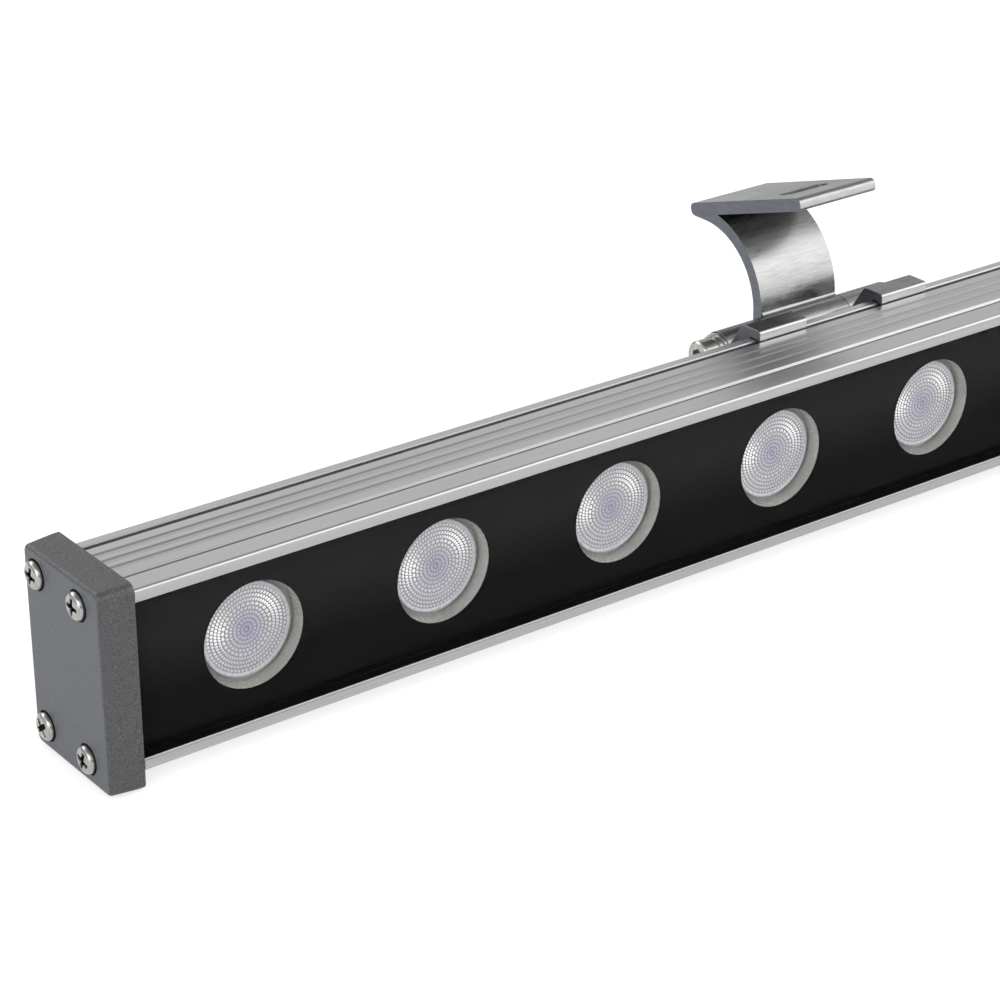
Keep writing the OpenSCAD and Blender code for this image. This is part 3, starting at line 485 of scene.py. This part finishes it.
def write_marks(mesh, label, values):
    """Gives each vertex of a mesh one number, which a material reads by its label."""
    mesh.attributes.new(label, "FLOAT", "POINT").data.foreach_set("value", values)


def ring_faces(a, b, count):
    """Quads between two rings of count vertices that start at indices a and b."""
    return [(a + i, a + (i + 1) % count, b + (i + 1) % count, b + i) for i in range(count)]


def halving_faces(a, b, count):
    """Faces between a ring of 2 * count vertices that starts at index a and one of count at index b."""
    faces = []
    for i in range(count):
        fine = a + 2 * i
        faces.append((fine, fine + 1, a + (2 * i + 2) % (2 * count), b + (i + 1) % count, b + i))
    return faces


def prism_faces(count):
    """The sides and both ends of a prism whose vertices are its two outlines, one after the other."""
    sides = [(i, (i + 1) % count, (i + 1) % count + count, i + count) for i in range(count)]
    return sides + [tuple(range(count - 1, -1, -1)), tuple(range(count, 2 * count))]


def lobe(r, a, towards, spread, mid, width):
    """1 at one place of a round face, falling off to 0 round it."""
    turn = (a - towards + math.pi) % (2 * math.pi) - math.pi
    return math.exp(-((turn / spread) ** 2) - ((r - mid) / width) ** 2)


def pillow(share):
    """0 at both ends of a share from 0 to 1, and 1 halfway."""
    return 4.0 * share * (1.0 - share)


def beaded_lens():
    """A round optic seen along +Y: a plain rim round rings of beads, a cone and a hollow behind.

    It returns vertices, faces and the marks that the material reads. Sizes are in millimetres.
    """
    rim_r, rim_inner_r, rim_t = 12.15, 11.4, 1.6
    cone_r, foot_r, back = 11.0, 4.97, 10.2
    hollow_r, hollow_d, hollow_rise, hollow_flat_r = 3.17, 6.93, 0.22, 2.9481
    soft, rim_soft, lip, hair = 0.15, 0.22, 0.07, 0.06
    foot_ease, root_ease, ease_h = 0.08, 0.1, 0.12
    pitch, bead_h, div = 1.05, 0.3, 4
    # Zones of beads: outer radius, rows, and beads to a row
    zones = ((11.2, 4, 64), (7.0, 4, 32), (2.8, 2, 16))
    sides = zones[0][2] * div
    middle_r = 6.5
    # Flares, where the optic paints its brightest highlights and darkest shade: angle and its spread in
    # radians, radius and its spread
    flares = ((0.65, 0.65, 8.3, 2.0), (2.95, 0.5, 8.2, 2.8))
    cone_at = cone_r + (foot_r - cone_r) * rim_t / back
    profile = (
        (hollow_r, hollow_d + hollow_rise),
        (hollow_r, back - soft),
        (hollow_r + soft, back),
        (foot_r - soft, back),
        (foot_r + foot_ease, back - ease_h),
        (cone_at - root_ease, rim_t + ease_h),
        (cone_at + soft, rim_t),
        (rim_r - soft, rim_t),
        (rim_r, rim_t - soft),
        (rim_r, rim_soft),
        (rim_r - lip, hair),
        (rim_r - rim_soft, 0.0),
        (rim_inner_r, 0.0),
    )
    verts, faces = [], []
    marks = {"bead": [], "flare": [], "rim": [], "middle": []}

    def put(r, a, depth, bead, plain):
        verts.append((r * math.cos(a) * MM, depth * MM, r * math.sin(a) * MM))
        marks["bead"].append(bead)
        marks["rim"].append(plain)
        marks["flare"].append(max(lobe(r, a, *flare) for flare in flares))
        marks["middle"].append(max(0.0, 1.0 - r / middle_r))
        return len(verts) - 1

    def plain_ring(r, depth):
        start = len(verts)
        for i in range(sides):
            put(r, 2 * math.pi * i / sides, depth, 0.0, 1.0)
        return start

    def bead_ring(step, outer, around):
        """One ring of the beads, which stand half a bead aside in every other row."""
        shift = (step // div % 2) * div // 2
        start = len(verts)
        for i in range(around):
            rise = bead_h * pillow((step % div) / div) * pillow(((i + shift) % div) / div)
            put(outer - pitch * step / div, 2 * math.pi * i / around, bead_h - rise, rise / bead_h, 0.0)
        return start

    # The back, from the axis out to the rim
    hub = put(0.0, 0.0, hollow_d, 0.0, 1.0)
    prev = plain_ring(hollow_flat_r, hollow_d)
    faces += [(hub, prev + (i + 1) % sides, prev + i) for i in range(sides)]
    for r, depth in profile:
        this = plain_ring(r, depth)
        faces += ring_faces(prev, this, sides)
        prev = this
    # The beads, from the rim in to the axis
    this = plain_ring(zones[0][0], bead_h)
    faces += ring_faces(prev, this, sides)
    prev, before = this, sides
    for outer, rows, count in zones:
        around = count * div
        for step in range(1, rows * div + 1):
            this = bead_ring(step, outer, around)
            if before == around:
                faces += ring_faces(prev, this, around)
            else:
                faces += halving_faces(prev, this, around)
            prev, before = this, around
    hub = put(0.0, 0.0, hair, 1.0 - hair / bead_h, 0.0)
    faces += [(prev + i, prev + (i + 1) % around, hub) for i in range(around)]
    return verts, faces, marks


def lenses():
    """A beaded optic for each lens, all of one mesh."""
    names = sorted(name for name in nodes if name.startswith("lens_") and name != "lens_holders")
    verts, faces, marks = beaded_lens()
    mesh = make_mesh(names[0] + "_optic", verts, faces, "lens_clear")
    for label, values in marks.items():
        write_marks(mesh, label, values)
    for name in names:
        low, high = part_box(name)
        at = ((low[0] + high[0]) / 2, low[1], (low[2] + high[2]) / 2)
        piece(name + "_optic", mesh, [name], at=at)


def pane():
    """The glass cover: a long pane with ground edges, a hair in front of the print behind it."""
    hair = 0.02 * MM
    front_c, back_c = 0.45 * MM, 0.225 * MM
    low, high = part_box("glass_cover")
    y0, y1 = low[1], high[1] - hair
    z0, z1 = low[2], high[2]
    outline = [
        (y0, z0 + front_c),
        (y0 + front_c, z0),
        (y1 - back_c, z0),
        (y1, z0 + back_c),
        (y1, z1 - back_c),
        (y1 - back_c, z1),
        (y0 + front_c, z1),
        (y0, z1 - front_c),
    ]
    verts = [(x, y, z) for x in (low[0], high[0]) for y, z in outline]
    mesh = make_mesh("glass_pane", verts, prism_faces(len(outline)), "front_glass", smooth=False)
    piece("glass_pane", mesh, ["glass_cover"])


# The head of a cap screw, in millimetres
HEAD_R = 3.5
HEAD_H = 2.8


def cross_recess(u, v):
    """How far down a tapered cross recess one point is: as a share, and in millimetres."""
    reach, half, narrows = 2.3, 0.72, 0.1
    depth, rises = 1.9, 0.4
    wall_run, end_run = 0.14, 0.25
    best = deepest = 0.0
    for along, off in ((abs(u), abs(v)), (abs(v), abs(u))):
        wall = min(1.0, max(0.0, (half - narrows * along / reach - off) / wall_run))
        end = min(1.0, max(0.0, (reach - along) / end_run))
        share = min(wall, end)
        deep = share * (depth - rises * along)
        if deep > deepest:
            best, deepest = share, deep
    return best, deepest


def pan_head(x, y, z, side, turn):
    """A pan-head screw whose head points along side * X from x, with its cross turned by turn.

    It returns vertices, faces and how deep in the recess each vertex is, from 0 to 1. The place is in
    metres, the sizes are in millimetres.
    """
    side_h, crown = 1.4, 0.05
    shank_r, shank_len, tip = 1.75, 16.0, 0.4
    soft = 0.15
    around, rows, edge_rows = 128, 44, 6
    crowding, lead = 0.9, 2.6
    mark_gain = 3.0
    top_h = HEAD_H - crown
    profile = (
        (shank_r - 2 * soft, -shank_len),
        (shank_r, -shank_len + tip),
        (shank_r, 0.0),
        (HEAD_R - soft, 0.0),
        (HEAD_R, soft),
        (HEAD_R, side_h),
    )
    verts, faces, depths = [], [], []

    def put(u, v, w, deep=0.0):
        verts.append((x + side * w * MM, y + u * MM, z + v * MM))
        depths.append(deep)
        return len(verts) - 1

    def circle(r):
        angles = (2 * math.pi * i / around for i in range(around))
        return [(r * math.cos(a), r * math.sin(a)) for a in angles]

    hub = put(0.0, 0.0, -shank_len)
    prev = None
    for r, w in profile:
        this = len(verts)
        for u, v in circle(r):
            put(u, v, w)
        if prev is None:
            faces += [(hub, this + (i + 1) % around, this + i) for i in range(around)]
        else:
            faces += ring_faces(prev, this, around)
        prev = this
    # The dome, with rows that stand closer towards its edge
    for row in range(1, rows):
        if row < edge_rows:
            r = HEAD_R * math.cos(math.pi / 2 * (row / rows) ** crowding)
        else:
            r = HEAD_R * (rows - row) / (rows - lead)
        dome = side_h + (HEAD_H - side_h) * math.sqrt(max(0.0, 1.0 - (r / HEAD_R) ** 4))
        this = len(verts)
        for u, v in circle(r):
            cross_u = u * math.cos(turn) + v * math.sin(turn)
            cross_v = v * math.cos(turn) - u * math.sin(turn)
            share, deep = cross_recess(cross_u, cross_v)
            put(u, v, min(dome, top_h) - deep, min(1.0, mark_gain * share))
        faces += ring_faces(prev, this, around)
        prev = this
    deep = cross_recess(0.0, 0.0)[1]
    hub = put(0.0, 0.0, top_h - deep, 1.0)
    faces += [(prev + i, prev + (i + 1) % around, hub) for i in range(around)]
    if side < 0:
        faces = [tuple(reversed(face)) for face in faces]
    return verts, faces, depths


def cap_screws(side_name, side):
    """The four screws of a cap, each with its cross at another turn."""
    low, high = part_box(side_name + "_cap_screws")
    seat = (high[0] - HEAD_H * MM) if side > 0 else (low[0] + HEAD_H * MM)
    ys = (low[1] + HEAD_R * MM, high[1] - HEAD_R * MM)
    zs = (low[2] + HEAD_R * MM, high[2] - HEAD_R * MM)
    turns = iter((0.35, 0.1, 0.95, 0.2))
    verts, faces, depths = [], [], []
    for y in ys:
        for z in zs:
            more_verts, more_faces, more_depths = pan_head(seat, y, z, side, next(turns))
            faces += [tuple(i + len(verts) for i in face) for face in more_faces]
            verts += more_verts
            depths += more_depths
    mesh = make_mesh(side_name + "_cap_screws_cross", verts, faces, "screw_steel")
    # The steel paints shade into the recess by this mark.
    write_marks(mesh, "recess", depths)
    piece(side_name + "_cap_screws_cross", mesh, [side_name + "_cap_screws"])


def root_fillet(side):
    """The drawn radius in the corner where an arm's blade stands on its knuckle.

    Its arc touches the blade's inner face and the knuckle, and its other sides are sunk in the arm.
    """
    knuckle_r, blade_t, r = 5.3 * MM, 3.4 * MM, 1.2 * MM
    sunk, buried, foot_d, rise = 0.07 * MM, 0.5 * MM, 0.6 * MM, 0.54 * MM
    turn, steps = 97.0, 8
    arm = nodes[side + "_arm"]
    low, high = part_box(side + "_arm")
    hinge = next(joint for joint in frame["joints"] if joint["name"] == side + "_bracket_tilt")
    hinge_y, hinge_z = hinge["pos_m"][1:]
    face_y = hinge_y + knuckle_r - blade_t
    mid_y = face_y - r
    mid_z = hinge_z + math.sqrt((knuckle_r + r) ** 2 - (mid_y - hinge_y) ** 2)
    top_z = mid_z + rise
    foot_z = hinge_z + knuckle_r - foot_d
    outline = [(face_y + buried, top_z), (face_y + sunk, top_z)]
    for i in range(steps + 1):
        a = math.radians(-turn * i / steps)
        outline.append((mid_y + r * math.cos(a), mid_z + r * math.sin(a)))
    outline += [(hinge_y + buried, foot_z), (face_y + buried, foot_z)]
    inset = BRACKET_EDGES["arm"] * MM
    verts = [(x, y, z) for x in (low[0] + inset, high[0] - inset) for y, z in outline]
    faces = [tuple(reversed(face)) for face in prism_faces(len(outline))]
    mesh = make_mesh(side + "_arm_root", verts, faces, "bracket_aluminium", smooth=False)
    piece(side + "_arm_root", mesh, [], body_of(arm)[0])


lenses()
pane()
cap_screws("left", -1)
cap_screws("right", 1)
root_fillet("left")
root_fillet("right")


# Studio


def room():
    """A white room whose light, as polished pieces mirror it, falls off towards the ceiling."""
    fill = 0.72
    # What polished pieces mirror: its brightness by the height of the way to it
    heights = (0.2, 0.5, 0.76, 0.97, 1.0)
    levels = (0.46, 1.15, 0.55, 0.3, 0.3)
    world = bpy.data.worlds.new("studio")
    world.use_nodes = True
    bpy.context.scene.world = world
    g = Graph(world.node_tree)
    fall = g.add("ShaderNodeValToRGB", {"Fac": g.coordinate("Generated", "Z")})
    ramp = fall.color_ramp
    ramp.interpolation = "EASE"
    for height in heights[1:-1]:
        ramp.elements.new(height)
    for stop, height, level in zip(ramp.elements, heights, levels):
        stop.position = height
        stop.color = (level, level, level, 1.0)
    soft = g.add("ShaderNodeBackground", {"Color": WHITE, "Strength": fill}).outputs[0]
    mirrored = g.add("ShaderNodeBackground", {"Color": fall.outputs[0]}).outputs[0]
    backdrop = g.add("ShaderNodeBackground", {"Color": WHITE}).outputs[0]
    around = g.mix_shaders(g.seen(), soft, mirrored)
    g.add("ShaderNodeOutputWorld", {"Surface": g.mix_shaders(g.ray("Camera"), around, backdrop)})


def floor():
    """A matt white floor with a glow of its own, a little stronger for the camera."""
    half, gap = 8.0, 0.2 * MM
    glow_seen, camera_lift = 0.52, 0.15
    tones = (0.5, 0.53)
    material = bpy.data.materials.new("floor_white")
    material.use_nodes = True
    g = Graph(material.node_tree)
    tone = g.spread(g.noise(3.0, detail=2.0), *tones, start=0.0, end=1.0)
    matt = g.add("ShaderNodeBsdfDiffuse", {"Color": tone}).outputs[0]
    level = g.math("MULTIPLY", g.seen(), glow_seen)
    level = g.math("MULTIPLY_ADD", g.ray("Camera"), camera_lift, level)
    glow = g.add("ShaderNodeEmission", {"Color": WHITE, "Strength": level}).outputs[0]
    both = g.add("ShaderNodeAddShader", {0: matt, 1: glow}).outputs[0]
    g.add("ShaderNodeOutputMaterial", {"Surface": both})

    corners = [(-half, -half, 0.0), (half, -half, 0.0), (half, half, 0.0), (-half, half, 0.0)]
    mesh = bpy.data.meshes.new("floor")
    mesh.from_pydata(corners, [], [(0, 1, 2, 3)])
    mesh.materials.append(material)
    plane = bpy.data.objects.new("floor", mesh)
    bpy.context.scene.collection.objects.link(plane)
    plane.location = (0.0, 0.0, -gap)


def area_lamp(name, direction, distance, size, power):
    """A rectangular lamp that looks at the left part of the housing from a direction."""
    target = Vector((-0.3, 0.0, 0.04))
    data = bpy.data.lights.new(name, "AREA")
    data.shape = "RECTANGLE"
    data.size, data.size_y = size
    data.energy = power
    lamp = bpy.data.objects.new(name, data)
    bpy.context.scene.collection.objects.link(lamp)
    way = Vector(direction).normalized()
    lamp.location = target + way * distance
    lamp.rotation_euler = (-way).to_track_quat("-Z", "Y").to_euler()


def camera():
    """The camera as it was fitted to the photo, with its picture shifted off its axis."""
    place = (-0.78705, -0.55681, 0.3538)
    focal_length, sensor = 107.903, 36.0
    rightward = Vector((0.8037, -0.5951, -0.0045)).normalized()
    back = Vector((-0.536, -0.7271, 0.429)).normalized()
    data = bpy.data.cameras.new("camera")
    data.sensor_width = sensor
    data.lens = focal_length
    data.shift_x = 0.0148
    data.shift_y = -0.0072
    data.clip_end = 50.0
    cam = bpy.data.objects.new("camera", data)
    bpy.context.scene.collection.objects.link(cam)
    up = back.cross(rightward).normalized()
    right = up.cross(back).normalized()
    turned = Matrix((right, up, back)).transposed().to_4x4()
    cam.matrix_world = Matrix.Translation(place) @ turned
    bpy.context.scene.camera = cam


room()
floor()
area_lamp("key", direction=(0.62, -0.7, 0.42), distance=1.6, size=(1.9, 1.3), power=12.0)
area_lamp("left", direction=(-0.9, -0.35, 0.35), distance=1.3, size=(0.9, 0.9), power=4.0)
area_lamp("rim", direction=(-0.4, 0.75, 0.55), distance=1.4, size=(1.0, 0.6), power=3.0)
camera()
bpy.context.scene.view_settings.view_transform = "Standard"

bpy.context.view_layer.update()
